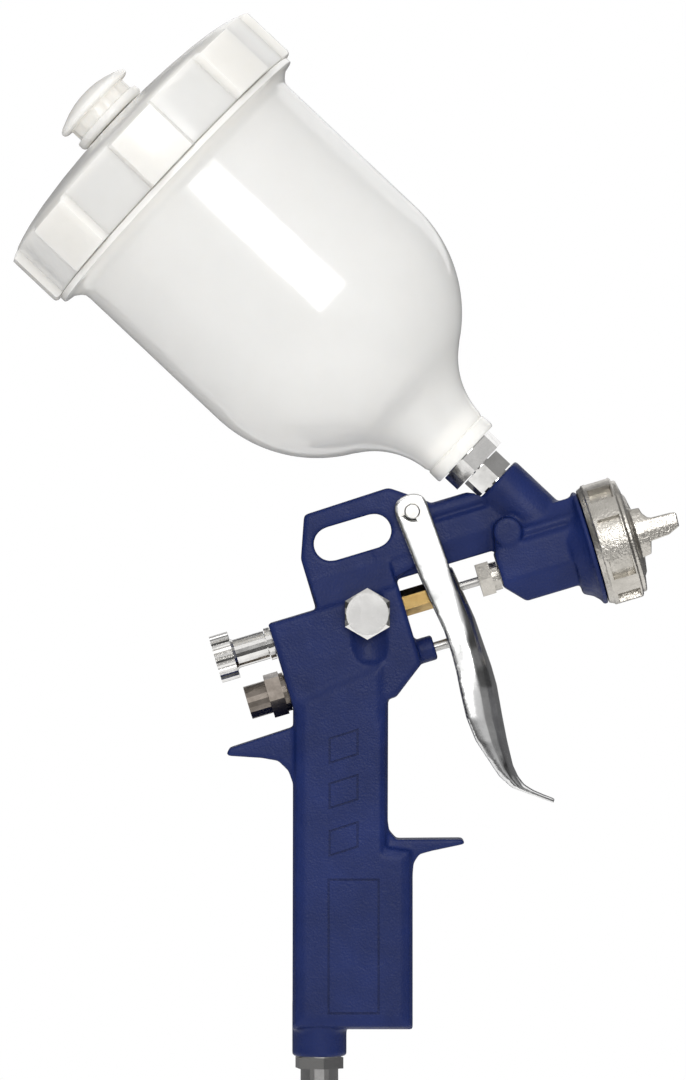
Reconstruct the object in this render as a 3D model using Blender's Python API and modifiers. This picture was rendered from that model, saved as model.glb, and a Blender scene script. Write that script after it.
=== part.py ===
"""Gravity-feed air spray gun with a 600 ml plastic cup, modelled as separate pieces.

Sizes are written in millimetres and turned into Blender's metres by MM.
World frame: the grip stands upright, +X is towards the nozzle, +Z is up, Y = 0 is the
mid-plane, and the origin is the centre of the air plug's lower end.
Spray frame: local z (u) runs forward along the fluid needle, local x (s) points down.
Cup frame: local z (a) runs from the cup's neck to its lid.
"""
import math

import bmesh
import bpy
from mathutils import Matrix

MM = 0.001
OBJECT_NAME = "spray_gun"

# Frames: tilt of the needle axis, points on the axes, tilt of the cup.
SPRAY_TILT = math.radians(16.7)
SPRAY_X, SPRAY_Z = 88.6, 184.3
VALVE_DROP = 15.4
CUP_TILT = math.radians(46.7)
CUP_X, CUP_Z = 44.8, 211.1
PIVOT_X, PIVOT_Z = 28.2, 193.5
FAN_X, FAN_Z = 14.6, 162.4

GAP = 0.3

# Half thicknesses of the casting.
HOOK_HALF = 6.0
BLOCK_HALF = 10.5
GRIP_HALF = 11.5
HEAD_HALF = 12.0

# Stations of the casting along the needle, and its passages.
BLOCK_REAR = -107.0
BLOCK_FRONT = -65.7
HEAD_REAR = -35.0
FLANGE_BACK = -7.3
FLANGE_FRONT = -5.8
FLANGE_R = 17.8
NEEDLE_R = 1.4
NEEDLE_BORE_R = 4.35
VALVE_BORE_R = 5.5
BOSS_TOP = -12.4

# Air cap ring.
RING_R = 18.9
RING_POCKET_R = 17.6
RING_POCKETS = 9
FIRST_POCKET = math.radians(97.0)

# Cup and lid.
CUP_R = 44.2
CUP_WALL = 1.7
DOME_CENTRE = 62.5
CUP_RIM = 139.0
LID_R = 49.7
LID_LUG_R = 52.1
LID_LUGS = 8
LID_LOW = 123.3

# Trigger.
TRIGGER_WALL = 1.6
EAR_HALF = 8.2
PIN_R = 2.4


def clear_scene():
    """Start from an empty file."""
    for obj in list(bpy.data.objects):
        bpy.data.objects.remove(obj, do_unlink=True)


def make_collection(name):
    """Return a new collection linked to the scene."""
    collection = bpy.data.collections.new(name)
    bpy.context.scene.collection.children.link(collection)
    return collection


def make_material(name, colour, roughness, metallic=0.0):
    """Return a Principled material."""
    material = bpy.data.materials.new(name)
    material.use_nodes = True
    shader = material.node_tree.nodes["Principled BSDF"]
    shader.inputs["Base Color"].default_value = (*colour, 1.0)
    shader.inputs["Roughness"].default_value = roughness
    shader.inputs["Metallic"].default_value = metallic
    return material


clear_scene()
PARTS = make_collection(OBJECT_NAME)
CUTTERS = make_collection("cutters")
BLUE_PAINT = make_material("blue_paint", (0.012, 0.022, 0.13), 0.45)
CHROME = make_material("chrome", (0.80, 0.79, 0.76), 0.12, 1.0)
NICKEL = make_material("nickel", (0.62, 0.58, 0.52), 0.32, 1.0)
STEEL = make_material("steel", (0.62, 0.62, 0.62), 0.28, 1.0)
BRASS = make_material("brass", (0.80, 0.55, 0.18), 0.25, 1.0)
MILKY_PLASTIC = make_material("milky_plastic", (0.86, 0.86, 0.84), 0.35)
SEAL_PLASTIC = make_material("seal_plastic", (0.9, 0.9, 0.88), 0.5)


def make_frame(name, x, z, rotation):
    """Return an empty whose local axes carry the pieces turned about one axis."""
    frame = bpy.data.objects.new(name, None)
    PARTS.objects.link(frame)
    frame.location = (x * MM, 0.0, z * MM)
    frame.rotation_euler = rotation
    return frame


WORLD = make_frame("inlet_frame", 0.0, 0.0, (0.0, 0.0, 0.0))
SPRAY = make_frame("spray_frame", SPRAY_X, SPRAY_Z, (0.0, math.pi / 2 - SPRAY_TILT, 0.0))
VALVE = make_frame("valve_frame", SPRAY_X + VALVE_DROP * math.sin(SPRAY_TILT),
                   SPRAY_Z - VALVE_DROP * math.cos(SPRAY_TILT),
                   (0.0, math.pi / 2 - SPRAY_TILT, 0.0))
CUP = make_frame("cup_frame", CUP_X, CUP_Z, (0.0, -CUP_TILT, 0.0))
PIVOT = make_frame("trigger_pivot", PIVOT_X, PIVOT_Z, (math.pi / 2, 0.0, 0.0))
FAN = make_frame("fan_frame", FAN_X, FAN_Z, (math.pi / 2, 0.0, 0.0))


def spray_point(u, s):
    """Return world x, z of a point given along and below the needle axis."""
    cosine, sine = math.cos(SPRAY_TILT), math.sin(SPRAY_TILT)
    return SPRAY_X + u * cosine + s * sine, SPRAY_Z + u * sine - s * cosine


def link(name, mesh, frame, material, shape_of=None):
    """Add a mesh object under a frame: a part if it has a material, else a working shape."""
    obj = bpy.data.objects.new(name, mesh)
    obj.parent = frame
    if material is None:
        CUTTERS.objects.link(obj)
        obj.hide_render = True
        obj.display_type = "WIRE"
    else:
        PARTS.objects.link(obj)
        mesh.materials.append(material)
    if shape_of is not None:
        obj.matrix_parent_inverse = shape_of
    return obj


def arc(cx, cy, radius, start, end, count):
    """Return points on an arc, angles in degrees, both ends included."""
    points = []
    for index in range(count + 1):
        angle = math.radians(start + (end - start) * index / count)
        points.append((cx + radius * math.cos(angle), cy + radius * math.sin(angle)))
    return points


def rounded(corners, count=4):
    """Return an outline whose corners (x, y, radius) are filleted."""
    outline = []
    total = len(corners)
    for index, (x, y, radius) in enumerate(corners):
        if radius == 0:
            outline.append((x, y))
            continue
        before = corners[index - 1]
        after = corners[(index + 1) % total]
        back = (before[0] - x, before[1] - y)
        ahead = (after[0] - x, after[1] - y)
        back_length = math.hypot(*back)
        ahead_length = math.hypot(*ahead)
        back = (back[0] / back_length, back[1] / back_length)
        ahead = (ahead[0] / ahead_length, ahead[1] / ahead_length)
        half = math.acos(max(-1.0, min(1.0, back[0] * ahead[0] + back[1] * ahead[1]))) / 2
        reach = min(radius / math.tan(half), 0.49 * back_length, 0.49 * ahead_length)
        start = (x + back[0] * reach, y + back[1] * reach)
        end = (x + ahead[0] * reach, y + ahead[1] * reach)
        for step in range(count + 1):
            share = step / count
            first = ((1 - share) ** 2, 2 * share * (1 - share), share ** 2)
            outline.append((first[0] * start[0] + first[1] * x + first[2] * end[0],
                            first[0] * start[1] + first[1] * y + first[2] * end[1]))
    return outline


def turned(name, profile, frame, material=None, closed=False, steps=24):
    """Revolve a profile of (radius, height) points about the frame's z axis."""
    mesh = bpy.data.meshes.new(name)
    shape = bmesh.new()
    points = [shape.verts.new((radius * MM, 0.0, height * MM)) for radius, height in profile]
    for first, second in zip(points, points[1:]):
        shape.edges.new((first, second))
    if closed:
        shape.edges.new((points[-1], points[0]))
    shape.to_mesh(mesh)
    shape.free()
    obj = link(name, mesh, frame, material)
    screw = obj.modifiers.new("turn", "SCREW")
    screw.steps = steps
    screw.render_steps = steps
    screw.use_merge_vertices = True
    screw.merge_threshold = 0.00001
    screw.use_smooth_shade = True
    return obj


def rod(name, radius, low, high, frame, material=None, steps=20):
    """Return a plain cylinder along the frame's z axis."""
    return turned(name, [(0, high), (radius, high), (radius, low), (0, low)], frame,
                  material, steps=steps)


def tube(name, radius, bore, low, high, frame, material=None, steps=20):
    """Return a plain tube along the frame's z axis."""
    profile = [(radius, high), (radius, low), (bore, low), (bore, high)]
    return turned(name, profile, frame, material, closed=True, steps=steps)


def hexagon(name, across_flats, low, high, frame, material=None, turn=0.0):
    """Return a six-sided prism along the frame's z axis."""
    mesh = bpy.data.meshes.new(name)
    shape = bmesh.new()
    radius = across_flats / math.sqrt(3) * MM
    place = Matrix.Translation((0, 0, (low + high) / 2 * MM)) @ Matrix.Rotation(turn, 4, "Z")
    bmesh.ops.create_cone(shape, cap_ends=True, segments=6, radius1=radius, radius2=radius,
                          depth=(high - low) * MM, matrix=place)
    shape.to_mesh(mesh)
    shape.free()
    return link(name, mesh, frame, material)


def flat(name, outline, low, high, frame, plane="XY", bevel=0.0, material=None):
    """Extrude an outline from low to high, across local z or, for plane XZ, along world y."""
    data = bpy.data.curves.new(name, "CURVE")
    data.dimensions = "2D"
    data.fill_mode = "BOTH"
    data.render_resolution_u = 0
    data.extrude = ((high - low) / 2 - bevel) * MM
    data.bevel_depth = bevel * MM
    data.bevel_resolution = 1
    data.offset = -bevel * MM
    spline = data.splines.new("POLY")
    spline.points.add(len(outline) - 1)
    for point, (x, y) in zip(spline.points, outline):
        point.co = (x * MM, y * MM, 0.0, 1.0)
    spline.use_cyclic_u = True
    curve = bpy.data.objects.new(name + "_curve", data)
    CUTTERS.objects.link(curve)
    mesh = bpy.data.meshes.new_from_object(curve.evaluated_get(
        bpy.context.evaluated_depsgraph_get()))
    bpy.data.objects.remove(curve)
    shape = bmesh.new()
    shape.from_mesh(mesh)
    bmesh.ops.remove_doubles(shape, verts=shape.verts, dist=0.000001)
    move = Matrix.Translation((0, 0, (low + high) / 2 * MM))
    if plane == "XZ":
        move = Matrix.Rotation(math.pi / 2, 4, "X") @ move
    bmesh.ops.transform(shape, matrix=move, verts=shape.verts)
    bmesh.ops.recalc_face_normals(shape, faces=shape.faces)
    shape.to_mesh(mesh)
    shape.free()
    mesh.name = name
    return link(name, mesh, frame, material)


def sector(name, inner, outer, centre, half_angle, low, high, frame):
    """Return a block shaped like a piece of a ring, used for lugs and pockets."""
    degrees = math.degrees(centre)
    spread = math.degrees(half_angle)
    outline = arc(0, 0, outer, degrees - spread, degrees + spread, 4)
    outline += arc(0, 0, inner, degrees + spread, degrees - spread, 4)
    return flat(name, outline, low, high, frame)


def combine(target, tools, operation):
    """Add one exact Boolean modifier for each tool."""
    for tool in tools:
        modifier = target.modifiers.new(tool.name, "BOOLEAN")
        modifier.operation = operation
        modifier.solver = "EXACT"
        modifier.object = tool
    return target


def join(target, tools):
    """Unite the tools with the target."""
    return combine(target, tools, "UNION")


def cut(target, tools):
    """Cut the tools from the target."""
    return combine(target, tools, "DIFFERENCE")


def coil(name, mean_radius, wire_radius, low, high, turns, frame, material):
    """Return a compression spring along the frame's z axis."""
    data = bpy.data.curves.new(name, "CURVE")
    data.dimensions = "3D"
    data.bevel_depth = wire_radius * MM
    data.bevel_resolution = 1
    data.use_fill_caps = True
    data.render_resolution_u = 0
    per_turn = 8
    count = turns * per_turn
    spline = data.splines.new("POLY")
    spline.points.add(count)
    for index in range(count + 1):
        angle = 2 * math.pi * index / per_turn
        height = low + wire_radius + (high - low - 2 * wire_radius) * index / count
        spline.points[index].co = (mean_radius * math.cos(angle) * MM,
                                   mean_radius * math.sin(angle) * MM, height * MM, 1.0)
    obj = bpy.data.objects.new(name, data)
    PARTS.objects.link(obj)
    obj.parent = frame
    data.materials.append(material)
    return obj


def spray_outline(corners):
    """Turn (u, s, radius) corners into world (x, z, radius) corners."""
    return [(*spray_point(u, s), radius) for u, s, radius in corners]


def upright(name, corners, half, bevel, material=None):
    """Extrude a world x, z outline across the mid-plane."""
    return flat(name, rounded(corners), -half, half, WORLD, "XZ", bevel, material)


def across(name, section, low, high):
    """Extrude a (s, y) section along the needle axis from low to high."""
    return flat(name, section, low, high, SPRAY)


def mirrored(half_section):
    """Complete a (s, y) half section with its mirror image."""
    return half_section + [(s, -y) for s, y in reversed(half_section)]


def casting():
    """Return the cast aluminium body with its passages."""
    grip = upright("gun_body", [
        (-8.0, 137.0, 0), (21.0, 150.0, 0), (20.8, 92.0, 0), (28.4, 91.0, 0),
        (28.4, 36.0, 0), (-8.2, 36.0, 0)], GRIP_HALF, 3.6, BLUE_PAINT)
    throat = upright("throat", [
        (-7.0, 134.0, 0), (20.7, 134.0, 0), (20.7, 140.0, 2.5), (31.1, 147.0, 0),
        (26.8, 158.0, 0), (-12.2, 149.4, 0), (-6.4, 130.0, 0)], BLOCK_HALF - 0.35, 1.1)
    rear_block = upright("rear_block", spray_outline([
        (BLOCK_REAR, -6.0, 0), (BLOCK_FRONT, -6.0, 0), (BLOCK_FRONT, 19.0, 0),
        (-76.0, 26.5, 0), (BLOCK_REAR, 27.0, 0)]), BLOCK_HALF, 1.4)
    hook = upright("hook", spray_outline([
        (-87.0, -34.6, 1.5), (-60.0, -35.2, 3.0), (-49.5, -27.6, 0), (-49.5, -12.0, 0),
        (BLOCK_FRONT, -8.2, 0), (BLOCK_FRONT, 2.0, 0), (-91.8, 2.0, 0), (-91.8, -22.0, 3.0)]),
        HOOK_HALF, 1.0)
    shoulder = across("shoulder", mirrored([
        (-17.0, HOOK_HALF - 0.6), (-3.7, BLOCK_HALF - 0.6), (3.1, BLOCK_HALF - 0.6)]),
        -91.3, BLOCK_FRONT - 0.55)
    barrel = across("barrel", mirrored([
        (-27.0, 3.2), (-26.0, 5.4), (-23.4, 5.8), (-22.6, 4.8), (-21.6, 4.8), (-20.6, 6.2),
        (-14.2, 6.2), (-7.6, 3.6)]), -70.0, -28.0)
    head = across("head", mirrored([
        (-16.4, 6.0), (-12.6, 8.6), (-11.2, 10.6), (-9.9, 10.8), (-9.2, 9.8), (-7.4, HEAD_HALF),
        (2.6, HEAD_HALF), (10.0, 6.4)]), HEAD_REAR, FLANGE_BACK + 0.5)
    head_corner = upright("head_corner", spray_outline([
        (-38.0, 4.0, 0), (HEAD_REAR, 4.0, 0), (-29.4, 10.2, 0), (-29.4, 14.0, 0),
        (-38.0, 14.0, 0)]), 20.0, 0.0)
    head_slope = upright("head_slope", spray_outline([
        (-38.0, -6.6, 0), (-34.6, -6.6, 0), (-31.0, -24.0, 0), (-38.0, -24.0, 0)]), 20.0, 0.0)
    throat_ring = turned("throat_ring", [
        (0, FLANGE_BACK + 0.4), (FLANGE_R - 0.6, FLANGE_BACK + 0.4), (14.6, -9.4),
        (13.0, -12.4), (0, -12.4)], SPRAY, steps=40)
    flange = rod("flange", FLANGE_R, FLANGE_BACK, FLANGE_FRONT, SPRAY, steps=48)
    nose = rod("nose", 15.0, FLANGE_FRONT - 0.5, 1.0, SPRAY, steps=40)
    cup_boss = turned("cup_boss", [
        (0, BOSS_TOP), (8.2, BOSS_TOP), (8.7, BOSS_TOP - 0.5), (8.7, -38.0), (0, -38.0)], CUP)
    side_boss = turned("side_boss", [
        (0, 12.3), (4.0, 12.3), (4.4, 11.9), (4.4, -11.9), (4.0, -12.3), (0, -12.3)],
        make_frame("side_boss_frame", 57.2, 187.3, (math.pi / 2, 0.0, 0.0)))
    valve_boss = turned("valve_boss", [
        (0, -60.4), (3.5, -60.4), (3.9, -60.8), (3.9, -68.3), (0, -68.3)], VALVE)
    rear_rest = upright("rear_rest", [
        (-6.8, 128.2, 0), (-27.5, 121.4, 0.8), (-28.4, 119.2, 0.8), (-17.5, 118.5, 0),
        (-12.5, 117.6, 0), (-9.4, 114.6, 0), (-7.9, 110.4, 0), (-7.6, 105.5, 0),
        (0.0, 105.5, 0), (0.0, 128.2, 0)], 8.5, 0.5)
    front_rest = upright("front_rest", [
        (18.0, 93.7, 0), (43.6, 93.9, 0.7), (44.4, 92.4, 0.7), (34.0, 90.2, 0),
        (30.4, 89.2, 0), (28.7, 86.6, 0), (28.3, 82.0, 0), (18.0, 82.0, 0)], 8.5, 0.5)
    rest_web = upright("rest_web", [
        (18.0, 99.6, 0), (20.8, 99.6, 0), (21.3, 96.2, 0), (23.4, 93.8, 0), (23.4, 90.0, 0),
        (18.0, 90.0, 0)], 8.0, 0.4)
    inlet_boss = turned("inlet_boss", [
        (0, 44.0), (8.3, 44.0), (8.3, 28.1), (7.7, 27.5), (0, 27.5)], WORLD)
    join(grip, [throat, rear_block, hook, shoulder, barrel])
    cut(head, [head_corner, head_slope])
    join(head, [throat_ring])
    join(grip, [head, flange, nose, cup_boss, side_boss, valve_boss, rear_rest, front_rest,
                rest_web, inlet_boss])
    cut(grip, passages())
    cut(grip, grip_grooves())
    return grip


def passages():
    """Return the cutters for the slot, the bores and the recess under the side plug."""
    slot_half = 12.2
    slot_r = 5.2
    slot_u, slot_s = -74.8, -23.8
    straight = slot_half - slot_r
    outline = []
    for side, start in ((1, -90), (-1, 90)):
        outline += [spray_point(slot_u + du, slot_s + ds) for du, ds in
                    arc(side * straight, 0, slot_r, start, start + 180, 8)]
    slot = flat("slot", outline, -20.0, 20.0, WORLD, "XZ")
    trough = turned("trough", [
        (0, 15.5), (5.2, 14.5), (7.4, 12.0), (8.2, 8.0), (8.2, -8.0), (7.4, -12.0),
        (5.2, -14.5), (0, -15.5)], make_frame("trough_frame", FAN_X, FAN_Z - 2.1, (0, 0, 0)))
    trough.location = (0.0, -(BLOCK_HALF + 5.87) * MM, 0.0)
    trough.rotation_euler = (0.0, math.radians(-6.0), 0.0)
    air_passage = rod("air_passage", 4.0, 43.0, 143.0, WORLD)
    inlet_bore = rod("inlet_bore", 6.4, 20.0, 43.5, WORLD)
    needle_bore = rod("needle_bore", NEEDLE_BORE_R, -112.0, -60.0, SPRAY)
    valve_bore = rod("valve_bore", VALVE_BORE_R, -112.0, -76.0, VALVE)
    stem_bore = rod("stem_bore", 1.9, -80.0, -55.0, VALVE)
    fluid_way = turned("fluid_way", [
        (0, 3.2), (5.0, 3.2), (5.0, -9.8), (3.0, -9.8), (3.0, -16.0), (1.9, -16.2),
        (1.9, -29.0), (3.3, -29.2), (3.3, -40.0), (0, -40.0)], SPRAY, steps=20)
    air_chamber = rod("air_chamber", 12.8, -3.6, 3.0, SPRAY)
    cup_bore = rod("cup_bore", 4.9, -24.6, -10.0, CUP)
    cup_seat = rod("cup_seat", 8.6, BOSS_TOP + 0.05, 6.0, CUP)
    feed_bore = rod("feed_bore", 2.3, -43.2, -23.8, CUP)
    fan_bore = rod("fan_bore", 5.6, -20.0, -6.2, FAN)
    plug_bore = rod("plug_bore", 5.6, 6.2, 20.0, FAN)
    pin_bore = rod("pin_bore", PIN_R + GAP, -20.0, 20.0, PIVOT)
    return [slot, trough, air_passage, inlet_bore, needle_bore, valve_bore, stem_bore,
            fluid_way, air_chamber, cup_bore, cup_seat, feed_bore, fan_bore, plug_bore, pin_bore]


def grip_grooves():
    """Return the cutters for the fine panel outlines on both sides of the grip."""
    width = 0.45
    depth = 0.4
    rise = 2.9
    left, right, height = 2.8, 11.9, 8.0
    cutters = []
    for top in (124.7, 111.0, 96.6):
        cutters.append(((left, top), (right, top + rise), (right, top + rise - height),
                        (left, top - height)))
    cutters.append(((2.5, 82.0), (18.3, 82.0), (18.3, 40.8), (2.5, 40.8)))
    frames = []
    for side in (-1, 1):
        for index, corners in enumerate(cutters):
            outer = flat("panel_%d_%d" % (index, side), corners, GRIP_HALF - depth,
                         GRIP_HALF + 1.0, WORLD, "XZ")
            outer.scale = (1.0, side, 1.0)
            inner = flat("panel_core_%d_%d" % (index, side), shrink(corners, width),
                         GRIP_HALF - depth - 1.0, GRIP_HALF + 2.0, WORLD, "XZ")
            inner.scale = (1.0, side, 1.0)
            cut(outer, [inner])
            frames.append(outer)
    return frames


def shrink(corners, width):
    """Return a four-sided outline moved inwards by about width."""
    middle_x = sum(x for x, _ in corners) / len(corners)
    moved = []
    half_height = (corners[0][1] - corners[3][1]) / 2
    for x, z in corners:
        share = width / half_height
        centre_z = (corners[0][1] + corners[3][1]) / 2
        centre_z += (x - corners[0][0]) * (corners[1][1] - corners[0][1]) / (
            corners[1][0] - corners[0][0])
        new_x = x + math.copysign(width, middle_x - x)
        slope = (corners[1][1] - corners[0][1]) / (corners[1][0] - corners[0][0])
        new_z = z + (centre_z - z) * share + (new_x - x) * slope
        moved.append((new_x, new_z))
    return moved


def air_line_pieces():
    """Make the plug that the air hose snaps onto."""
    plug = turned("air_plug", [
        (5.9, 42.0), (5.9, 27.2), (5.75, 27.2), (5.75, 15.4), (5.1, 14.6), (5.1, 12.0),
        (3.95, 10.8), (3.95, 7.6), (5.0, 6.6), (5.0, 5.4), (3.95, 4.4), (3.95, 0.4),
        (3.6, 0.0), (2.6, 0.0), (2.6, 42.0)], WORLD, CHROME, closed=True)
    hexagon_part = hexagon("plug_hex", 13.5, 23.8, 27.2, WORLD, turn=math.radians(10))
    plug_core = rod("plug_core", 2.6, -1.0, 43.0, WORLD)
    cut(hexagon_part, [plug_core])
    join(plug, [hexagon_part])
    return plug


def side_pieces():
    """Make the hexagon plug on the near side and the fan control on the far side."""
    face = BLOCK_HALF + GAP
    plug = hexagon("side_plug", 13.6, face, face + 4.2, FAN, CHROME)
    chamfer = turned("side_plug_dome", [
        (0, face + 4.3), (6.3, face + 4.3), (7.9, face + 3.4), (7.9, face - 0.1),
        (0, face - 0.1)], FAN)
    combine(plug, [chamfer], "INTERSECT")
    join(plug, [rod("side_plug_thread", 5.3, 6.6, face + 0.5, FAN)])
    bush = hexagon("fan_control_bush", 13.0, -face - 3.6, -face, FAN, CHROME)
    join(bush, [rod("fan_bush_thread", 5.3, -face - 0.5, -6.6, FAN),
                rod("fan_bush_neck", 4.2, -face - 7.5, -face - 3.0, FAN)])
    cut(bush, [rod("fan_bush_bore", 2.0, -30.0, 0.0, FAN)])
    rod("fan_control_stem", 1.6, -face - 12.0, -6.9, FAN, STEEL)
    knob = knurled("fan_control_knob", 7.6, 24, -face - 16.0, -face - 8.0, FAN, CHROME)
    sleeve = rod("fan_knob_sleeve", 5.4, -face - 8.5, -face - 4.0, FAN)
    join(knob, [sleeve])
    cut(knob, [rod("fan_knob_bore", 4.5, -face - 8.2, -face - 3.0, FAN),
               rod("fan_knob_hole", 1.9, -face - 12.3, -face - 3.0, FAN)])


def knurled(name, radius, teeth, low, high, frame, material=None):
    """Return a disc with a toothed rim for the fingers."""
    outline = []
    for index in range(teeth):
        for share, reach in ((0.0, radius - 0.5), (0.3, radius), (0.7, radius)):
            angle = 2 * math.pi * (index + share) / teeth
            outline.append((reach * math.cos(angle), reach * math.sin(angle)))
    return flat(name, outline, low, high, frame, material=material)


def fluid_control_pieces():
    """Make the needle, its packing, spring and adjusting knob."""
    turned("needle", [
        (0, 9.0), (0.35, 8.6), (NEEDLE_R, 4.4), (NEEDLE_R, -112.5), (0.9, -113.0),
        (0, -113.0)], SPRAY, STEEL, steps=16)
    collar = hexagon("needle_collar", 7.0, -76.0, -50.7, SPRAY, BRASS,
                     turn=math.radians(30))
    cut(collar, [rod("collar_bore", NEEDLE_R + GAP, -80.0, -45.0, SPRAY)])
    coil("needle_spring", 2.25, 0.35, -117.6, -76.3, 12, SPRAY, STEEL)
    bush = turned("fluid_control_bush", [
        (3.35, -117.0), (2.9, -117.0), (2.9, -100.0), (4.1, -100.0), (4.1, -107.3),
        (5.0, -107.3), (5.0, -109.0), (3.35, -109.0)], SPRAY, CHROME, closed=True)
    knob = knurled("fluid_knob", 7.3, 28, -125.5, -119.8, SPRAY, CHROME)
    sleeve = turned("fluid_knob_sleeve", [
        (4.4, -109.3), (4.4, -119.0), (5.2, -120.2), (3.65, -120.2), (3.65, -109.3)],
        SPRAY, closed=True)
    join(knob, [sleeve])
    nut = hexagon("gland_nut", 10.0, -41.7, -37.6, SPRAY, NICKEL)
    join(nut, [rod("gland_nut_neck", 4.4, -38.0, -35.3, SPRAY),
               rod("gland_nut_thread", 3.0, -36.0, -31.6, SPRAY)])
    cut(nut, [rod("gland_nut_bore", NEEDLE_R + GAP, -45.0, -30.0, SPRAY)])
    tube("needle_packing", 3.0, NEEDLE_R + 0.25, -31.3, -29.3, SPRAY, SEAL_PLASTIC)
    return bush


def air_valve_pieces():
    """Make the trigger-worked air valve: stem, seat, spring, gland and rear cap."""
    turned("air_valve_stem", [
        (0, -48.4), (1.2, -48.4), (1.5, -48.8), (1.5, -81.0), (4.2, -81.6), (4.2, -84.6),
        (1.8, -84.9), (1.8, -88.0), (0, -88.0)], VALVE, STEEL)
    tube("air_valve_seat", 5.2, 2.6, -80.6, -76.3, VALVE, BRASS)
    coil("air_valve_spring", 2.8, 0.4, -107.5, -85.2, 7, VALVE, STEEL)
    cap = hexagon("air_valve_cap", 12.2, -113.2, -108.6, VALVE, NICKEL,
                  turn=math.radians(12))
    join(cap, [rod("valve_cap_tail", 5.1, -119.9, -112.8, VALVE),
               rod("valve_cap_shoulder", 6.0, -109.0, -107.3, VALVE),
               rod("valve_cap_thread", 5.2, -108.0, -99.0, VALVE)])
    cut(cap, [rod("valve_cap_bore", 3.6, -107.8, -95.0, VALVE),
              rod("valve_cap_recess", 3.4, -121.0, -116.5, VALVE)])


def head_pieces():
    """Make the fluid nozzle, baffle, air cap and its ring."""
    nozzle = hexagon("fluid_nozzle", 12.0, -3.3, -0.4, SPRAY, STEEL)
    body = turned("nozzle_body", [
        (0, 8.4), (1.5, 8.4), (1.5, 6.2), (4.6, 0.8), (4.6, -9.4), (0, -9.4)], SPRAY)
    join(nozzle, [body])
    cut(nozzle, [turned("nozzle_bore_cut", [
        (0, 10.0), (0.75, 10.0), (0.75, 8.0), (1.75, 4.0), (1.75, -12.0), (0, -12.0)], SPRAY,
        steps=16)])
    baffle = tube("air_baffle", 12.4, 7.4, -3.2, -1.6, SPRAY, BRASS)
    holes = []
    for index in range(8):
        angle = 2 * math.pi * (index + 0.27) / 8
        hole = rod("baffle_hole_%d" % index, 0.9, -5.0, 0.0, SPRAY, steps=8)
        hole.location = (9.9 * math.cos(angle) * MM, 9.9 * math.sin(angle) * MM, 0.0)
        hole.rotation_euler = (0.0, 0.0, angle)
        holes.append(hole)
    cut(baffle, holes)
    cap = turned("air_cap", [
        (1.95, 9.6), (6.0, 9.2), (12.0, 8.2), (13.6, 7.2), (13.6, 3.8), (14.8, 3.8),
        (14.8, 1.5), (12.6, 1.5), (9.0, 3.0), (3.4, 7.4), (1.95, 8.3)], SPRAY, NICKEL,
        closed=True, steps=40)
    envelope = turned("horn_envelope", [
        (0, 22.0), (11.2, 22.0), (12.4, 9.0), (12.4, 6.0), (0, 6.0)], SPRAY)
    valley = turned("horn_valley", [
        (0, 24.0), (8.6, 24.0), (5.0, 10.2), (1.95, 9.6), (1.95, 5.0), (0, 5.0)], SPRAY)
    profile = [(-7.6, 8.4), (-7.4, 11.0), (-5.6, 11.4), (-4.0, 12.6), (-3.4, 14.0),
               (-3.1, 20.8), (-2.6, 21.4), (1.4, 21.2), (3.0, 17.4), (3.3, 11.8), (7.0, 10.8),
               (7.4, 8.4)]
    horns = flat("horns", profile, -14.0, 14.0, SPRAY, "XZ")
    combine(horns, [envelope], "INTERSECT")
    cut(horns, [valley])
    join(cap, [horns])
    jets = []
    for side in (-1, 1):
        jet = rod("horn_jet_%d" % side, 0.8, -2.0, 6.0, SPRAY, steps=10)
        jet.location = (0.0, side * 8.6 * MM, 17.6 * MM)
        jet.rotation_euler = (side * math.radians(60.0), 0.0, 0.0)
        jets.append(jet)
    cut(cap, jets)
    ring = turned("air_cap_ring", [
        (14.1, 7.3), (17.2, 6.4), (17.5, 6.0), (17.5, 4.3), (RING_R - 0.4, 4.0),
        (RING_R, 3.6), (RING_R, -3.7), (RING_R - 0.5, -4.1), (FLANGE_R, -5.5), (15.4, -5.5),
        (15.4, 4.1), (14.1, 4.1)], SPRAY, NICKEL, closed=True, steps=45)
    pockets = []
    for index in range(RING_POCKETS):
        centre = FIRST_POCKET + 2 * math.pi * index / RING_POCKETS
        pockets.append(sector("ring_pocket_%d" % index, RING_POCKET_R, RING_R + 2.0, centre,
                              math.radians(10.0), -2.8, 3.0, SPRAY))
    cut(ring, pockets)


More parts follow.
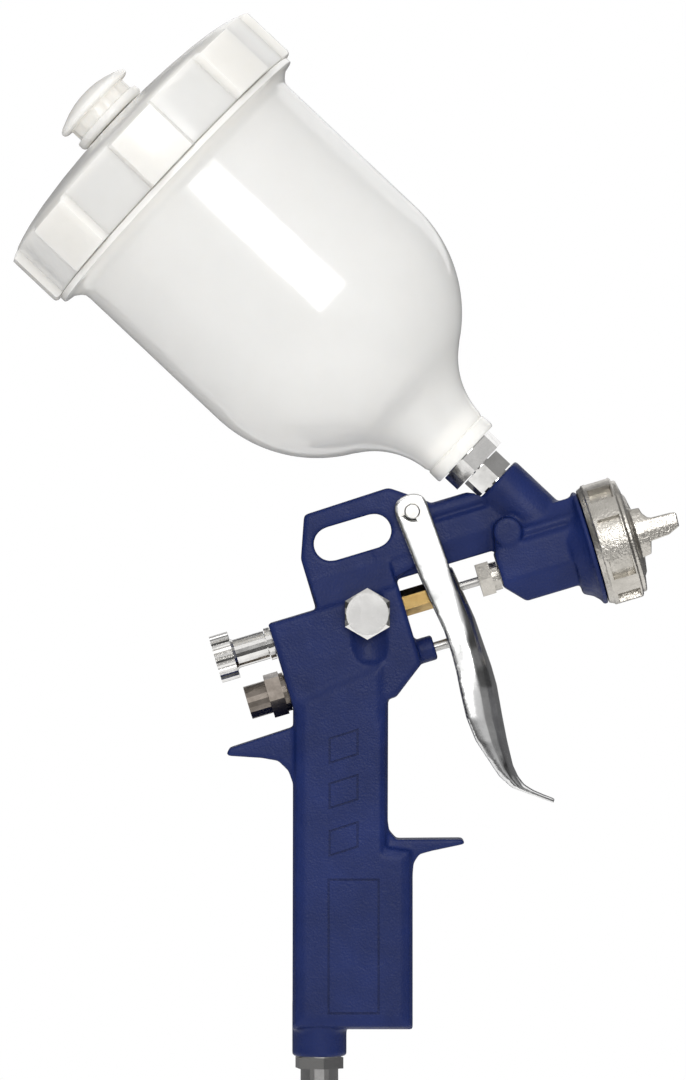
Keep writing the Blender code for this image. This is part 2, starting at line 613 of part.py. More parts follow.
def cup_pieces():
    """Make the paint cup, its nut and fluid joint, the lid and the vent cap."""
    joint = hexagon("cup_joint", 12.7, -11.9, -5.9, CUP, CHROME, turn=math.radians(10))
    join(joint, [rod("cup_joint_thread", 4.6, -24.3, -11.5, CUP),
                 rod("cup_joint_spigot", 3.4, -6.5, -1.0, CUP)])
    cut(joint, [rod("cup_joint_bore", 2.4, -26.0, 0.0, CUP)])
    nut = hexagon("cup_nut", 18.0, -5.5, -0.3, CUP, CHROME, turn=math.radians(48))
    join(nut, [rod("cup_nut_spigot", 7.9, -0.8, 9.0, CUP)])
    cut(nut, [rod("cup_nut_bore", 3.8, -7.0, 10.0, CUP)])
    wall = CUP_WALL
    dome_top = math.degrees(math.acos(23.6 / CUP_R))
    outer = [(45.6, CUP_RIM), (46.0, 137.6), (47.0, 137.2), (47.0, 134.8), (46.0, 134.4),
             (46.0, 122.7), (50.2, 122.7), (50.2, 120.8), (46.4, 119.4), (44.0, 118.6),
             (44.2, 90.0)]
    outer += arc(0, DOME_CENTRE, CUP_R, 0, -dome_top, 8)
    outer += arc(36.85, 3.8, 25.0, 122, 175, 5)[1:]
    outer += [(11.4, 4.6), (11.9, 2.6), (11.9, 0.6), (11.4, 0.0)]
    inner = [(8.2, 0.0), (8.2, 9.6)]
    inner += arc(36.85, 3.8, 25.0 + wall, 166, 122, 4)
    inner += arc(0, DOME_CENTRE, CUP_R - wall, -dome_top, 0, 7)
    inner += [(CUP_R - wall, 119.0), (CUP_R - wall, CUP_RIM)]
    turned("paint_cup", outer + inner, CUP, MILKY_PLASTIC, closed=True, steps=36)
    lid = turned("cup_lid", [
        (4.3, 147.2), (20.0, 146.9), (36.0, 145.2), (45.6, 143.2), (48.6, 142.3), (LID_R, 141.2),
        (LID_R, LID_LOW), (47.7, LID_LOW), (47.7, 139.6), (45.0, 141.0), (20.0, 144.7),
        (4.3, 145.0)], CUP, MILKY_PLASTIC, closed=True, steps=48)
    lugs = []
    for index in range(LID_LUGS):
        centre = 2 * math.pi * index / LID_LUGS + math.radians(2.0)
        lugs.append(sector("lid_lug_%d" % index, LID_R - 0.7, LID_LUG_R, centre,
                           math.radians(10.5), LID_LOW, 141.6, CUP))
    join(lid, lugs)
    turned("vent_cap", [
        (0, 160.2), (5.0, 159.8), (10.0, 158.4), (13.4, 157.0), (13.8, 156.0), (13.6, 155.2),
        (11.0, 154.8), (11.0, 150.9), (12.6, 150.6), (12.6, 148.6), (11.6, 147.7),
        (3.9, 147.6), (3.9, 143.6), (0, 143.6)], CUP, MILKY_PLASTIC, steps=28)


def trigger_section(front, back, half, bend_depth, bend_width):
    """Return one closed U-shaped section as world points, front web and two flanges."""
    reach_x, reach_z = back[0] - front[0], back[1] - front[1]
    depth = math.hypot(reach_x, reach_z)
    unit = (reach_x / depth, reach_z / depth)
    wall = TRIGGER_WALL if depth > 4 else 1.0
    bend = min(bend_depth, depth * 0.8)
    outer = [(depth, -half)]
    inner = [(depth, -half + wall)]
    for step in range(6):
        angle = math.pi / 2 * step / 5
        outer.append((bend * (1 - math.sin(angle)),
                      -(half - bend_width) - bend_width * math.cos(angle)))
        inner.append((wall + (max(bend, wall + 0.1) - wall) * (1 - math.sin(angle)),
                      -(half - bend_width) - (bend_width - wall) * math.cos(angle)))
    outer += [(d, -y) for d, y in reversed(outer)]
    inner += [(d, -y) for d, y in reversed(inner)]
    loop = outer + list(reversed(inner))
    return [(front[0] + d * unit[0], y, front[1] + d * unit[1]) for d, y in loop]


def trigger_pieces():
    """Make the pressed steel trigger, its pivot pin and the clips."""
    stations = [
        ((40.3, 176.7), (30.9, 172.9), EAR_HALF, 2.4, 3.0),
        ((43.5, 169.6), (34.1, 165.4), EAR_HALF, 2.8, 3.4),
        ((47.4, 161.0), (38.0, 157.2), 8.4, 4.6, 5.0),
        ((50.2, 152.8), (40.4, 150.0), 9.0, 6.2, 6.0),
        ((52.4, 146.6), (41.9, 144.2), 9.6, 7.2, 6.8),
        ((54.1, 140.6), (43.0, 138.6), 10.0, 7.8, 7.2),
        ((55.7, 131.5), (44.9, 130.4), 10.4, 7.8, 7.4),
        ((57.2, 123.8), (47.7, 123.4), 10.4, 6.8, 7.2),
        ((59.0, 116.2), (52.0, 116.9), 10.0, 5.0, 6.6),
        ((60.6, 112.8), (54.6, 113.0), 9.6, 3.8, 6.0),
        ((62.6, 110.2), (58.6, 109.4), 9.0, 2.4, 6.0),
        ((65.3, 108.5), (64.2, 107.3), 8.0, 0.6, 5.0),
        ((68.6, 107.1), (68.0, 105.9), 7.0, 0.6, 4.5),
        ((71.8, 105.9), (71.3, 104.7), 5.4, 0.6, 4.0)]
    mesh = bpy.data.meshes.new("trigger")
    shape = bmesh.new()
    rows = []
    for front, back, half, bend_depth, bend_width in stations:
        section = trigger_section(front, back, half, bend_depth, bend_width)
        rows.append([shape.verts.new((x * MM, y * MM, z * MM)) for x, y, z in section])
    count = len(rows[0])
    for first, second in zip(rows, rows[1:]):
        for index in range(count):
            after = (index + 1) % count
            shape.faces.new((first[index], first[after], second[after], second[index]))
    half_count = count // 2
    for row, turn in ((rows[0], 1), (rows[-1], -1)):
        for index in range(half_count - 1):
            quad = (row[index], row[count - 1 - index], row[count - 2 - index], row[index + 1])
            shape.faces.new(quad[::turn])
    bmesh.ops.recalc_face_normals(shape, faces=shape.faces)
    shape.to_mesh(mesh)
    shape.free()
    trigger = link("trigger", mesh, PIVOT, STEEL)
    trigger.matrix_parent_inverse = frame_inverse(PIVOT)
    down = (0.352, -0.936)
    side = (0.936, 0.352)
    end = 28.0
    ears = []
    for sign in (-1, 1):
        corners = []
        for along, offset, radius in ((-5.3, -5.3, 5.2), (-5.3, 5.3, 5.2), (17.0, 5.0, 0),
                                      (end, 4.0, 0), (end, -4.4, 0), (17.0, -5.0, 0)):
            corners.append((PIVOT_X + along * down[0] + offset * side[0],
                            PIVOT_Z + along * down[1] + offset * side[1], radius))
        low = EAR_HALF - TRIGGER_WALL + 0.05
        high = EAR_HALF - 0.05
        bounds = (low, high) if sign > 0 else (-high, -low)
        ears.append(flat("trigger_ear_%d" % sign, rounded(corners, 8), *bounds, WORLD, "XZ"))
    join(trigger, ears)
    needle_slot = flat("needle_slot", arc(-1.2, 0, 2.3, 90, 270, 6) + arc(
        1.6, 0, 2.3, -90, 90, 6), -54.0, -44.0, SPRAY)
    cut(trigger, [rod("trigger_bore", PIN_R + GAP, -20.0, 20.0, PIVOT), needle_slot])
    turned("trigger_pin", [
        (0, 10.2), (2.0, 10.2), (PIN_R, 9.8), (PIN_R, 9.5), (1.9, 9.5), (1.9, 8.6),
        (PIN_R, 8.6), (PIN_R, -8.6), (4.0, -8.6), (4.0, -9.6), (3.4, -10.0), (0, -10.0)],
        PIVOT, STEEL)
    outline = arc(0, 0, 4.3, -62, 205, 16) + arc(0, 0, 2.15, 205, -62, 12)
    flat("pin_clip", outline, 8.7, 9.4, PIVOT, material=STEEL)


def frame_inverse(frame):
    """Return the matrix that keeps world coordinates under a frame."""
    place = Matrix.Translation(frame.location)
    return (place @ frame.rotation_euler.to_matrix().to_4x4()).inverted()


casting()
air_line_pieces()
side_pieces()
fluid_control_pieces()
air_valve_pieces()
head_pieces()
cup_pieces()
trigger_pieces()
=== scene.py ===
"""Looks of the gravity-feed air spray gun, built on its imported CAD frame."""
import math

import bmesh
import bpy
from mathutils import Matrix, Vector


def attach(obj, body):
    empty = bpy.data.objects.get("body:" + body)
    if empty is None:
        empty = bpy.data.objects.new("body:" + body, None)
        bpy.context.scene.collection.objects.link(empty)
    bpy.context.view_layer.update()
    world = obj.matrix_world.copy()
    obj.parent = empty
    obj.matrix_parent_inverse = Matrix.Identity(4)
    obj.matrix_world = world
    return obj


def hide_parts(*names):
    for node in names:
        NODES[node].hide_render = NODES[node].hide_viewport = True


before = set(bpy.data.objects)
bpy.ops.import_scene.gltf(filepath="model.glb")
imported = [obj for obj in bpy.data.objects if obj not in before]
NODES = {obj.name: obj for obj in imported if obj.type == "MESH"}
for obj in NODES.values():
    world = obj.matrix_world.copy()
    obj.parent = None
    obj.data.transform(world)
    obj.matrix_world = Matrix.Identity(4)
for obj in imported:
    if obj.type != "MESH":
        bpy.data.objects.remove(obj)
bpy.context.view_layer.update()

MM = 0.001
SPRAY_TILT = math.radians(16.7)
CUP_TILT = math.radians(46.7)
SPRAY = Matrix.Translation((0.0886, 0.0, 0.1843)) @ Matrix.Rotation(math.pi / 2 - SPRAY_TILT, 4, "Y")
CUP = Matrix.Translation((0.0448, 0.0, 0.2111)) @ Matrix.Rotation(-CUP_TILT, 4, "Y")


# Materials -----------------------------------------------------------------

def new_material(name, colour, roughness, metallic=0.0, **sockets):
    """Return a material, its node tree, its shader and object coordinates."""
    material = bpy.data.materials.new(name)
    material.use_nodes = True
    tree = material.node_tree
    shader = tree.nodes["Principled BSDF"]
    shader.inputs["Base Color"].default_value = (*colour, 1.0)
    shader.inputs["Roughness"].default_value = roughness
    shader.inputs["Metallic"].default_value = metallic
    for socket, value in sockets.items():
        shader.inputs[socket.replace("_", " ")].default_value = value
    coordinates = tree.nodes.new("ShaderNodeTexCoord").outputs["Object"]
    return material, tree, shader, coordinates


def noise(tree, coordinates, scale, detail=3.0, roughness=0.5):
    """Return a noise texture's value."""
    node = tree.nodes.new("ShaderNodeTexNoise")
    node.inputs["Scale"].default_value = scale
    node.inputs["Detail"].default_value = detail
    node.inputs["Roughness"].default_value = roughness
    tree.links.new(coordinates, node.inputs["Vector"])
    return node.outputs["Fac"]


def remap(tree, value, low, high, start=0.3, end=0.7):
    """Return the value spread between low and high."""
    node = tree.nodes.new("ShaderNodeMapRange")
    node.inputs["From Min"].default_value = start
    node.inputs["From Max"].default_value = end
    node.inputs["To Min"].default_value = low
    node.inputs["To Max"].default_value = high
    tree.links.new(value, node.inputs["Value"])
    return node.outputs["Result"]


def mixed(tree, factor, first, second):
    """Return a colour between two."""
    node = tree.nodes.new("ShaderNodeMix")
    node.data_type = "RGBA"
    node.inputs["A"].default_value = (*first, 1.0)
    node.inputs["B"].default_value = (*second, 1.0)
    tree.links.new(factor, node.inputs["Factor"])
    return node.outputs["Result"]


def bump(tree, shader, heights):
    """Chain bumps of (height value, strength, distance)."""
    normal = None
    for height, strength, distance in heights:
        node = tree.nodes.new("ShaderNodeBump")
        node.inputs["Strength"].default_value = strength
        node.inputs["Distance"].default_value = distance
        tree.links.new(height, node.inputs["Height"])
        if normal is not None:
            tree.links.new(normal, node.inputs["Normal"])
        normal = node.outputs["Normal"]
    tree.links.new(normal, shader.inputs["Normal"])


def painted_casting():
    """Semi-gloss navy paint over a sand-cast surface."""
    material, tree, shader, where = new_material(
        "navy_paint", (0.005, 0.014, 0.084), 0.42,
        Specular_IOR_Level=0.2, Coat_Weight=0.03, Coat_Roughness=0.3)
    grain = noise(tree, where, 1500.0, 2.0)
    waves = noise(tree, where, 260.0, 3.0)
    shade = noise(tree, where, 60.0, 4.0)
    colour = mixed(tree, remap(tree, shade, 0.0, 1.0), (0.0032, 0.0100, 0.062), (0.0055, 0.0150, 0.088))
    tree.links.new(colour, shader.inputs["Base Color"])
    tree.links.new(remap(tree, waves, 0.36, 0.52), shader.inputs["Roughness"])
    bump(tree, shader, [(grain, 0.8, 0.00022), (waves, 0.3, 0.0004)])
    return material


def metal(name, colour, dark, roughness, spread, grain_scale, grain_depth, grain_strength=0.3):
    """Plated or bare metal with fine variation."""
    material, tree, shader, where = new_material(name, colour, roughness, 1.0)
    patches = noise(tree, where, 180.0, 4.0, 0.6)
    tree.links.new(mixed(tree, remap(tree, patches, 0.0, 1.0), dark, colour), shader.inputs["Base Color"])
    tree.links.new(remap(tree, patches, roughness + spread, roughness), shader.inputs["Roughness"])
    grain = noise(tree, where, grain_scale, 3.0)
    bump(tree, shader, [(grain, grain_strength, grain_depth)])
    return material


def milky(name, colour, roughness, see_through):
    """Milky polyethylene, smooth outside, letting soft light in."""
    material, tree, shader, where = new_material(
        name, colour, roughness, Subsurface_Weight=0.7, Subsurface_Scale=0.010,
        Subsurface_Radius=(1.0, 0.95, 0.88), Transmission_Weight=see_through, IOR=1.45)
    cloud = noise(tree, where, 40.0, 3.0)
    tint = tuple(channel * 0.965 for channel in colour)
    tree.links.new(mixed(tree, remap(tree, cloud, 0.0, 1.0), tint, colour), shader.inputs["Base Color"])
    ripple = noise(tree, where, 90.0, 2.0)
    speckle = noise(tree, where, 1800.0, 1.0)
    tree.links.new(remap(tree, cloud, roughness * 0.85, roughness * 1.15), shader.inputs["Roughness"])
    bump(tree, shader, [(ripple, 0.10, 0.0006), (speckle, 0.05, 0.00005)])
    return material


PAINT = painted_casting()
CHROME = metal("bright_chrome", (0.80, 0.79, 0.77), (0.66, 0.65, 0.63), 0.10, 0.08, 500.0, 0.00004, 0.15)
NICKEL = metal("satin_nickel", (0.63, 0.60, 0.55), (0.44, 0.42, 0.38), 0.24, 0.12, 1300.0, 0.00022, 0.9)
BROWN_NICKEL = metal("dull_nickel", (0.29, 0.255, 0.225), (0.15, 0.13, 0.11), 0.24, 0.12, 900.0, 0.00008, 0.3)
STEEL = metal("bare_steel", (0.62, 0.61, 0.59), (0.46, 0.45, 0.43), 0.22, 0.10, 900.0, 0.00005, 0.2)
PRESSED = metal("pressed_chrome", (0.78, 0.78, 0.77), (0.60, 0.60, 0.60), 0.13, 0.10, 320.0, 0.00010, 0.22)
BRASS = metal("turned_brass", (0.44, 0.31, 0.13), (0.26, 0.16, 0.05), 0.16, 0.10, 900.0, 0.00005, 0.2)
CUP_PLASTIC = milky("milky_cup", (0.950, 0.905, 0.830), 0.13, 0.10)
LID_PLASTIC = milky("milky_lid", (0.730, 0.710, 0.670), 0.2, 0.05)
CAP_PLASTIC = milky("milky_cap", (0.860, 0.840, 0.800), 0.24, 0.10)
SEAL = milky("white_seal", (0.85, 0.85, 0.82), 0.4, 0.0)


# Shapes --------------------------------------------------------------------

def arc(cx, cy, radius, start, end, count):
    """Return points on an arc, angles in degrees, both ends included."""
    points = []
    for index in range(count + 1):
        angle = math.radians(start + (end - start) * index / count)
        points.append((cx + radius * math.cos(angle), cy + radius * math.sin(angle)))
    return points


def add_piece(name, mesh, material, body, slot, *nodes):
    """Link a mesh as a visible piece that stands for CAD nodes."""
    obj = bpy.data.objects.new(name, mesh)
    bpy.context.scene.collection.objects.link(obj)
    mesh.materials.clear()
    mesh.materials.append(material)
    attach(obj, body)
    if nodes:
        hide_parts(*nodes)
    return obj


def revolve(name, profile, matrix, angles, reach=None):
    """Revolve a closed profile of (radius, height) or (radius, height, tag) points."""
    shape = bmesh.new()
    rows = []
    for angle in angles:
        row = []
        for point in profile:
            radius = point[0] + (reach(angle, point[2]) if reach and len(point) > 2 else 0.0)
            row.append(shape.verts.new(matrix @ Vector((
                radius * math.cos(angle) * MM, radius * math.sin(angle) * MM, point[1] * MM))))
        rows.append(row)
    count = len(profile)
    for index, row in enumerate(rows):
        after = rows[(index + 1) % len(rows)]
        for place in range(count):
            step = (place + 1) % count
            shape.faces.new((row[place], row[step], after[step], after[place]))
    bmesh.ops.recalc_face_normals(shape, faces=shape.faces)
    mesh = bpy.data.meshes.new(name)
    shape.to_mesh(mesh)
    shape.free()
    mesh.shade_smooth()
    mesh.set_sharp_from_angle(angle=math.radians(32))
    return mesh


def even_angles(count):
    """Return angles evenly spread round a circle."""
    return [2 * math.pi * index / count for index in range(count)]


def lobed_angles(count, centres, half, slope):
    """Return even angles plus the edges of lobes at the centres."""
    angles = set(round(angle, 6) for angle in even_angles(count))
    for centre in centres:
        for edge in (-half - slope, -half, half, half + slope):
            angle = (centre + edge) % (2 * math.pi)
            angles = {a for a in angles if abs(a - angle) > slope * 0.6}
            angles.add(angle)
    return sorted(angles)


def lobe(angle, centres, half, slope):
    """Return 1 inside a lobe, 0 outside, with a straight slope between."""
    best = 0.0
    for centre in centres:
        away = abs((angle - centre + math.pi) % (2 * math.pi) - math.pi)
        best = max(best, min(1.0, max(0.0, (half + slope - away) / slope)))
    return best


def soft_corner(points, radius, count=3):
    """Round the corners of a closed profile by up to radius."""
    result = []
    total = len(points)
    for index, point in enumerate(points):
        x, y = point[0], point[1]
        tag = point[2:]
        before = points[index - 1]
        after = points[(index + 1) % total]
        back = Vector((before[0] - x, before[1] - y))
        ahead = Vector((after[0] - x, after[1] - y))
        reach = min(radius, back.length * 0.45, ahead.length * 0.45)
        straight = back.length < 1e-6 or ahead.length < 1e-6 or back.angle(ahead) > math.radians(160)
        if straight or reach < 0.02:
            result.append((x, y, *tag))
            continue
        start = Vector((x, y)) + back.normalized() * reach
        end = Vector((x, y)) + ahead.normalized() * reach
        for step in range(count + 1):
            share = step / count
            spot = start * (1 - share) ** 2 + Vector((x, y)) * 2 * share * (1 - share) + end * share ** 2
            result.append((spot.x, spot.y, *tag))
    return result


def evaluated(obj, name):
    """Return a new mesh of an object with its modifiers, and remove the object."""
    bpy.context.view_layer.update()
    mesh = bpy.data.meshes.new_from_object(obj.evaluated_get(bpy.context.evaluated_depsgraph_get()))
    mesh.name = name
    bpy.data.objects.remove(obj)
    return mesh


def scratch(name, mesh):
    """Return a temporary object."""
    obj = bpy.data.objects.new(name, mesh)
    bpy.context.scene.collection.objects.link(obj)
    return obj


def boolean(target, tool, operation, solver="EXACT"):
    """Add a Boolean modifier."""
    modifier = target.modifiers.new(tool.name, "BOOLEAN")
    modifier.operation = operation
    modifier.solver = solver
    modifier.object = tool


def softened(node, voxel, passes, fill=None):
    """Return a CAD node's mesh with its edges and corners softened as a casting's are."""
    obj = scratch(node + "_soft", NODES[node].data.copy())
    if fill:
        boolean(obj, fill, "UNION")
    remesh = obj.modifiers.new("voxels", "REMESH")
    remesh.mode = "VOXEL"
    remesh.voxel_size = voxel * MM
    smooth = obj.modifiers.new("soften", "SMOOTH")
    smooth.factor = 0.5
    smooth.iterations = passes
    mesh = evaluated(obj, node + "_soft")
    mesh.shade_smooth()
    return mesh


def prism_frame(shape, outer, inner, near, far):
    """Add a closed four-sided frame between two outlines, from near to far along y."""
    rings = []
    for outline in (outer, inner):
        for y in (near, far):
            rings.append([shape.verts.new((x * MM, y * MM, z * MM)) for x, z in outline])
    outer_near, outer_far, inner_near, inner_far = rings
    for first, second in ((outer_near, outer_far), (outer_far, inner_far), (inner_far, inner_near),
                          (inner_near, outer_near)):
        for index in range(4):
            after = (index + 1) % 4
            shape.faces.new((first[index], first[after], second[after], second[index]))


def groove_tool():
    """Return the cutter of the panel outlines on both sides of the grip, in millimetres."""
    shape = bmesh.new()
    width, floor, outside = 0.62, 11.05, 13.0
    panels = [((2.8, top), (11.9, top + 2.9), (11.9, top - 5.1), (2.8, top - 8.0))
              for top in (124.7, 111.0, 96.6)]
    panels.append(((2.5, 82.0), (18.3, 82.0), (18.3, 40.8), (2.5, 40.8)))
    for outer in panels:
        slope = (outer[1][1] - outer[0][1]) / (outer[1][0] - outer[0][0])
        inner = []
        for index, (x, z) in enumerate(outer):
            dx = width if index in (0, 3) else -width
            dz = -width if index in (0, 1) else width
            inner.append((x + dx, z + dz + dx * slope))
        for side in (-1, 1):
            prism_frame(shape, outer, inner, side * floor, side * outside)
    bmesh.ops.recalc_face_normals(shape, faces=shape.faces)
    mesh = bpy.data.meshes.new("grooves")
    shape.to_mesh(mesh)
    shape.free()
    return scratch("grooves", mesh)


def groove_filler():
    """Return slabs that close the CAD grooves, with the blend from the grip to its round inlet."""
    shape = bmesh.new()
    inlet_half_length, count = 8.22, 40
    for side in (-1, 1):
        place = Matrix.Translation((10.4 * MM, side * 10.9 * MM, 84.4 * MM))
        bmesh.ops.create_cube(shape, size=1.0, matrix=place @ Matrix.Diagonal(
            (16.6 * MM, 1.19 * MM, 89.0 * MM, 1.0)))
    rings = []
    for z, wide in ((27.9, 8.2), (30.0, 8.3), (36.0, 9.2), (42.0, 10.6), (47.0, 11.3)):
        rings.append([shape.verts.new((
            inlet_half_length * math.cos(angle) * MM, wide * math.sin(angle) * MM, z * MM))
            for angle in even_angles(count)])
    for low, high in zip(rings, rings[1:]):
        for index in range(count):
            after = (index + 1) % count
            shape.faces.new((low[index], low[after], high[after], high[index]))
    shape.faces.new(rings[0][::-1])
    shape.faces.new(rings[-1])
    mesh = bpy.data.meshes.new("filler")
    shape.to_mesh(mesh)
    shape.free()
    return scratch("filler", mesh)


def casting():
    """Make the painted body with soft cast edges and fine panel grooves."""
    filler = groove_filler()
    mesh = softened("gun_body", 0.55, 5, filler)
    bpy.data.objects.remove(filler)
    obj = scratch("casting_cut", mesh)
    tool = groove_tool()
    boolean(obj, tool, "DIFFERENCE", "MANIFOLD")
    mesh = evaluated(obj, "painted_casting")
    bpy.data.objects.remove(tool)
    mesh.shade_smooth()
    mesh.set_sharp_from_angle(angle=math.radians(50))
    add_piece("painted_casting", mesh, PAINT, "gun", "blue_paint", "gun_body")


def cup_piece():
    """Make the moulded cup: barrel, domed bottom, neck and flange."""
    wall = 1.7
    dome = math.degrees(math.acos(23.6 / 44.2))
    outer = [(45.6, 139.0), (46.0, 137.6), (47.0, 137.2), (47.0, 134.8), (46.0, 134.4), (46.0, 122.7),
             (50.0, 122.7), (50.2, 122.5), (50.2, 121.0), (50.0, 120.8), (47.4, 120.3), (46.2, 119.5),
             (45.2, 118.7), (44.4, 117.6), (44.2, 116.0), (44.2, 90.0)]
    outer += arc(0, 62.5, 44.2, 0, -dome, 28)
    outer += arc(36.85, 3.8, 25.0, 122, 175, 18)[1:]
    outer += [(11.4, 4.6), (11.8, 4.2), (11.9, 2.6), (11.9, 0.6), (11.7, 0.2), (11.4, 0.0)]
    inner = [(8.2, 0.0), (8.2, 9.6)]
    inner += arc(36.85, 3.8, 25.0 + wall, 166, 122, 14)
    inner += arc(0, 62.5, 44.2 - wall, -dome, 0, 24)
    inner += [(44.2 - wall, 119.0), (44.2 - wall, 139.0)]
    mesh = revolve("milky_cup", outer + inner, CUP, even_angles(128))
    add_piece("milky_cup", mesh, CUP_PLASTIC, "cup", "milky_plastic", "paint_cup")


def lid_piece():
    """Make the lid with its grip lugs."""
    centres = [2 * math.pi * index / 8 + math.radians(2.0) for index in range(8)]
    half, slope = math.radians(9.2), math.radians(1.7)
    profile = [(4.3, 147.2), (12.0, 147.15), (20.0, 146.9), (28.0, 146.2), (36.0, 145.2), (42.0, 144.1),
               (45.6, 143.2), (48.2, 142.4), (49.2, 141.8), (49.6, 141.4, 1.0), (49.7, 140.6, 2.4),
               (49.7, 140.0, 2.4), (49.7, 124.0, 2.4), (49.6, 123.2, 2.3), (49.3, 122.95, 2.2),
               (47.7, 122.95), (47.7, 139.6), (45.0, 141.0), (20.0, 144.7), (4.3, 145.0)]
    mesh = revolve("milky_lid", profile, CUP, lobed_angles(144, centres, half, slope),
                   lambda angle, tag: tag * lobe(angle, centres, half, slope))
    add_piece("milky_lid", mesh, LID_PLASTIC, "lid", "milky_plastic", "cup_lid")


def vent_piece():
    """Make the mushroom-shaped vent cap with its moulded ridges."""
    centres = even_angles(14)
    half, slope = math.radians(4.0), math.radians(3.0)
    profile = [(0.01, 160.2), (3.0, 160.05), (5.0, 159.8), (8.0, 159.1), (10.0, 158.4), (12.4, 157.5),
               (13.4, 156.9), (13.8, 156.2), (13.6, 155.4), (13.0, 155.0), (11.2, 154.8),
               (10.7, 154.4, 0.3), (10.7, 151.2, 0.3), (11.4, 150.9), (12.4, 150.7), (12.6, 150.3),
               (12.6, 148.9), (12.3, 148.3), (11.6, 147.8), (3.9, 147.6), (3.9, 143.6), (0.01, 143.6)]
    mesh = revolve("milky_vent", profile, CUP, lobed_angles(84, centres, half, slope),
                   lambda angle, tag: tag * lobe(angle, centres, half, slope))
    add_piece("milky_vent", mesh, CAP_PLASTIC, "vent", "milky_plastic", "vent_cap")


def ring_piece():
    """Make the ring that holds the air cap, with its finger pockets."""
    centres = [math.radians(97.0 + 40.0 * index) for index in range(9)]
    half, slope = math.radians(9.6), math.radians(0.5)
    profile = soft_corner([
        (14.1, 7.3), (17.3, 6.7), (17.6, 6.3), (17.6, 5.5), (18.5, 5.3), (18.9, 4.9),
        (18.9, 4.5), (18.9, 4.3, -2.0), (18.9, -2.4, -2.0), (18.9, -2.6), (18.9, -3.7), (18.4, -4.1),
        (17.8, -5.5), (15.4, -5.5), (15.4, 4.1), (14.1, 4.1)], 0.18, 2)
    mesh = revolve("cap_ring", profile, SPRAY, lobed_angles(108, centres, half, slope),
                   lambda angle, tag: tag * lobe(angle, centres, half, slope))
    add_piece("cap_ring_turned", mesh, NICKEL, "cap_ring", "nickel", "air_cap_ring")


def trigger_piece():
    """Make the pressed trigger with rolled edges, and its sides fuller round the bend."""
    foot, bend, top = 104.0, 140.0, 158.0
    fullness, flat_middle = 1.0, 4.0
    mesh = softened("trigger", 0.36, 12)
    for vertex in mesh.vertices:
        height = vertex.co.z / MM
        if foot < height < top and abs(vertex.co.y) > flat_middle * MM:
            share = (top - height) / (top - bend) if height > bend else (height - foot) / (bend - foot)
            vertex.co.y += math.copysign(fullness * MM, vertex.co.y) * share * share * (3.0 - 2.0 * share)
    add_piece("pressed_trigger", mesh, PRESSED, "trigger", "steel", "trigger")


def air_cap_piece():
    """Make the machined air cap with its horns."""
    mesh = softened("air_cap", 0.26, 4)
    add_piece("horned_air_cap", mesh, NICKEL, "air_cap", "nickel", "air_cap")


def finish_node(node, material, bevel):
    """Give a CAD node its material and soften its edges."""
    obj = NODES[node]
    obj.data.materials.clear()
    obj.data.materials.append(material)
    if bevel:
        modifier = obj.modifiers.new("edges", "BEVEL")
        modifier.width = bevel * MM
        modifier.segments = 2
        modifier.limit_method = "ANGLE"
        modifier.angle_limit = math.radians(32)
        modifier.harden_normals = True


casting()
cup_piece()
lid_piece()
vent_piece()
ring_piece()
trigger_piece()
air_cap_piece()
for node, material, bevel in (
        ("air_plug", CHROME, 0.25), ("side_plug", CHROME, 0.3), ("fan_control_bush", CHROME, 0.25),
        ("fan_control_stem", STEEL, 0.1), ("fan_control_knob", CHROME, 0.12),
        ("fluid_control_bush", CHROME, 0.15), ("fluid_knob", CHROME, 0.12), ("needle", STEEL, 0),
        ("needle_collar", BRASS, 0.2), ("needle_spring", STEEL, 0), ("gland_nut", NICKEL, 0.2),
        ("needle_packing", SEAL, 0.1), ("air_valve_stem", STEEL, 0.1), ("air_valve_seat", BRASS, 0.1),
        ("air_valve_spring", STEEL, 0), ("air_valve_cap", BROWN_NICKEL, 0.25),
        ("fluid_nozzle", STEEL, 0.15), ("air_baffle", BRASS, 0.1), ("cup_joint", CHROME, 0.25),
        ("cup_nut", CHROME, 0.3), ("trigger_pin", STEEL, 0.15), ("pin_clip", STEEL, 0.08)):
    finish_node(node, material, bevel)


# Studio --------------------------------------------------------------------

def pale_floor():
    """Make the plain pale floor."""
    shape = bmesh.new()
    bmesh.ops.create_circle(shape, cap_ends=True, segments=64, radius=0.62,
                            matrix=Matrix.Translation((0.0, 0.0, -0.1)))
    mesh = bpy.data.meshes.new("floor")
    shape.to_mesh(mesh)
    shape.free()
    material, tree, shader, where = new_material("pale_floor", (0.86, 0.86, 0.86), 0.6)
    spread = noise(tree, where, 8.0)
    tree.links.new(remap(tree, spread, 0.55, 0.65), shader.inputs["Roughness"])
    mesh.materials.append(material)
    obj = bpy.data.objects.new("floor", mesh)
    bpy.context.scene.collection.objects.link(obj)


def soft_light(name, place, target, width, height, power, twist=0.0):
    """Add a rectangular softbox that faces the target."""
    data = bpy.data.lights.new(name, "AREA")
    data.shape = "RECTANGLE"
    data.size = width
    data.size_y = height
    data.energy = power
    obj = bpy.data.objects.new(name, data)
    bpy.context.scene.collection.objects.link(obj)
    aim = (Vector(target) - Vector(place)).to_track_quat("-Z", "Y")
    obj.location = place
    obj.rotation_euler = (aim.to_matrix().to_4x4() @ Matrix.Rotation(twist, 4, "Z")).to_euler()


def grey_ramp(tree, value, stops):
    """Return a ramp through (position, grey, blue) stops, first and last included."""
    node = tree.nodes.new("ShaderNodeValToRGB")
    elements = node.color_ramp.elements
    for element, (position, grey, blue) in zip((elements[0], elements[1]), (stops[0], stops[-1])):
        element.position = position
        element.color = (grey, grey, blue, 1.0)
    for position, grey, blue in stops[1:-1]:
        elements.new(position).color = (grey, grey, blue, 1.0)
    tree.links.new(value, node.inputs["Fac"])
    return node.outputs["Color"]


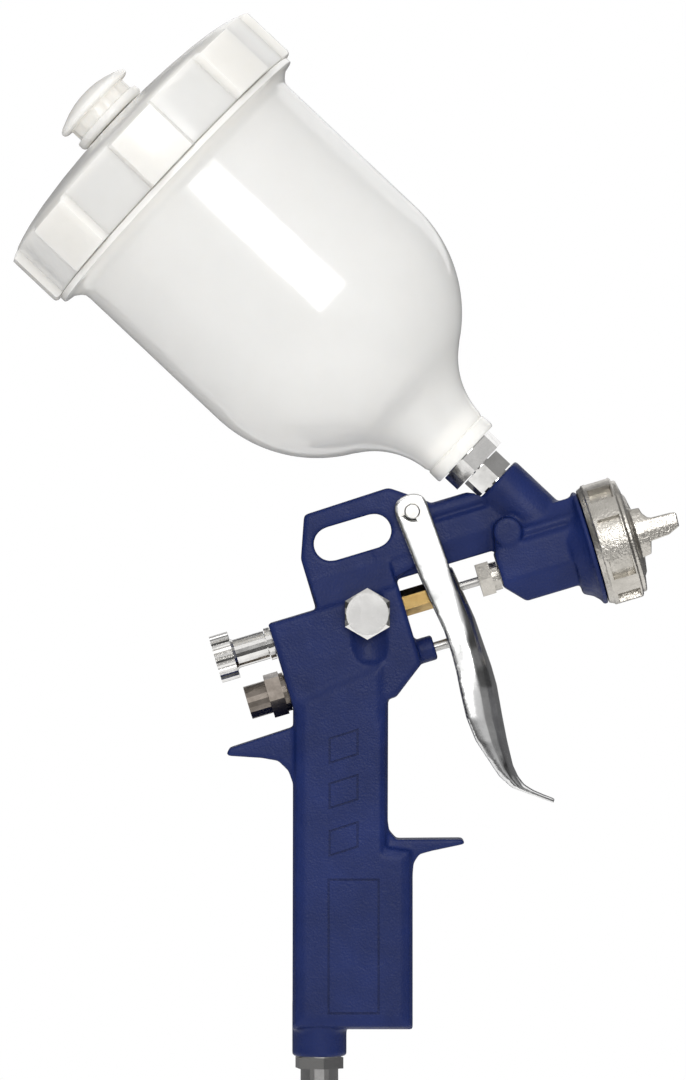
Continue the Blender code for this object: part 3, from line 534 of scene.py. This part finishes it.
def calculated(tree, operation, first, second=None):
    """Return a Math node's value for one or two linked values."""
    node = tree.nodes.new("ShaderNodeMath")
    node.operation = operation
    tree.links.new(first, node.inputs[0])
    if second:
        tree.links.new(second, node.inputs[1])
    return node.outputs[0]


def layered(tree, under, factor, plain=None):
    """Return a colour mix over another, with its second socket left free unless plain is given."""
    node = tree.nodes.new("ShaderNodeMix")
    node.data_type = "RGBA"
    tree.links.new(under, node.inputs["A"])
    if factor:
        tree.links.new(factor, node.inputs["Factor"])
    if plain:
        node.inputs["B"].default_value = (*plain, 1.0)
    return node


def studio_world():
    """Make a world white to the eye, dimmer for matt surfaces at the sides and behind, banded for
    reflections.

    Directions run from -1 to 1: X to the sides, Y away from the photographed side, Z up.
    """
    world = bpy.data.worlds.new("studio")
    bpy.context.scene.world = world
    world.use_nodes = True
    tree = world.node_tree
    direction = tree.nodes.new("ShaderNodeSeparateXYZ")
    tree.links.new(tree.nodes.new("ShaderNodeTexCoord").outputs["Generated"], direction.inputs[0])
    aside = calculated(tree, "ABSOLUTE", direction.outputs["X"])
    away = direction.outputs["Y"]
    height = remap(tree, direction.outputs["Z"], 0.0, 1.0, -1.0, 1.0)

    bands = grey_ramp(tree, height, (
        (0.0, 0.34, 0.35), (0.30, 0.42, 0.4242), (0.37, 0.05, 0.0505), (0.435, 0.08, 0.0808),
        (0.49, 0.68, 0.6868), (0.595, 0.70, 0.707), (0.62, 0.08, 0.0808), (0.69, 0.10, 0.101),
        (0.73, 0.76, 0.7676), (1.0, 0.80, 0.80)))
    sides = grey_ramp(tree, aside, (
        (0.0, 1.0, 1.0), (0.42, 1.0, 1.0), (0.60, 0.42, 0.42), (0.88, 0.46, 0.46), (1.0, 0.22, 0.23)))
    graded = layered(tree, bands, None)
    graded.blend_type = "MULTIPLY"
    graded.inputs["Factor"].default_value = 1.0
    tree.links.new(sides, graded.inputs["B"])
    dark_behind = layered(tree, graded.outputs["Result"], remap(tree, away, 0.0, 1.0, 0.0, 0.5),
                          (0.15, 0.15, 0.155))

    even = calculated(tree, "MULTIPLY", remap(tree, aside, 1.42, 0.70, 0.25, 1.0),
                      remap(tree, away, 1.12, 0.45, -0.2, 0.8))
    path = tree.nodes.new("ShaderNodeLightPath")
    matt = layered(tree, dark_behind.outputs["Result"], path.outputs["Is Diffuse Ray"])
    tree.links.new(even, matt.inputs["B"])
    seen = layered(tree, matt.outputs["Result"], path.outputs["Is Camera Ray"], (1.0, 1.0, 1.0))
    tree.links.new(seen.outputs["Result"], tree.nodes["Background"].inputs["Color"])


bpy.context.scene.view_settings.view_transform = "Standard"
pale_floor()
studio_world()
CENTRE = (0.007, 0.0, 0.185)
CUP_FRONT = (-0.018, -0.044, 0.279)
soft_light("window", (0.265, -1.44, 0.58), CUP_FRONT, 0.80, 0.15, 7.0, CUP_TILT)
soft_light("key", (-0.35, -1.6, 1.1), CENTRE, 0.9, 0.7, 2.5)
soft_light("back", (0.3, 1.2, 0.9), CENTRE, 1.2, 0.8, 3.0)

camera = bpy.data.cameras.new("camera")
camera.sensor_fit = "VERTICAL"
camera.sensor_height = 36.0
camera.lens = 262.3
view = bpy.data.objects.new("camera", camera)
view.location = (0.0072, -2.4, 0.1848)
view.rotation_euler = (math.pi / 2, 0.0, 0.0)
bpy.context.scene.collection.objects.link(view)
bpy.context.scene.camera = view
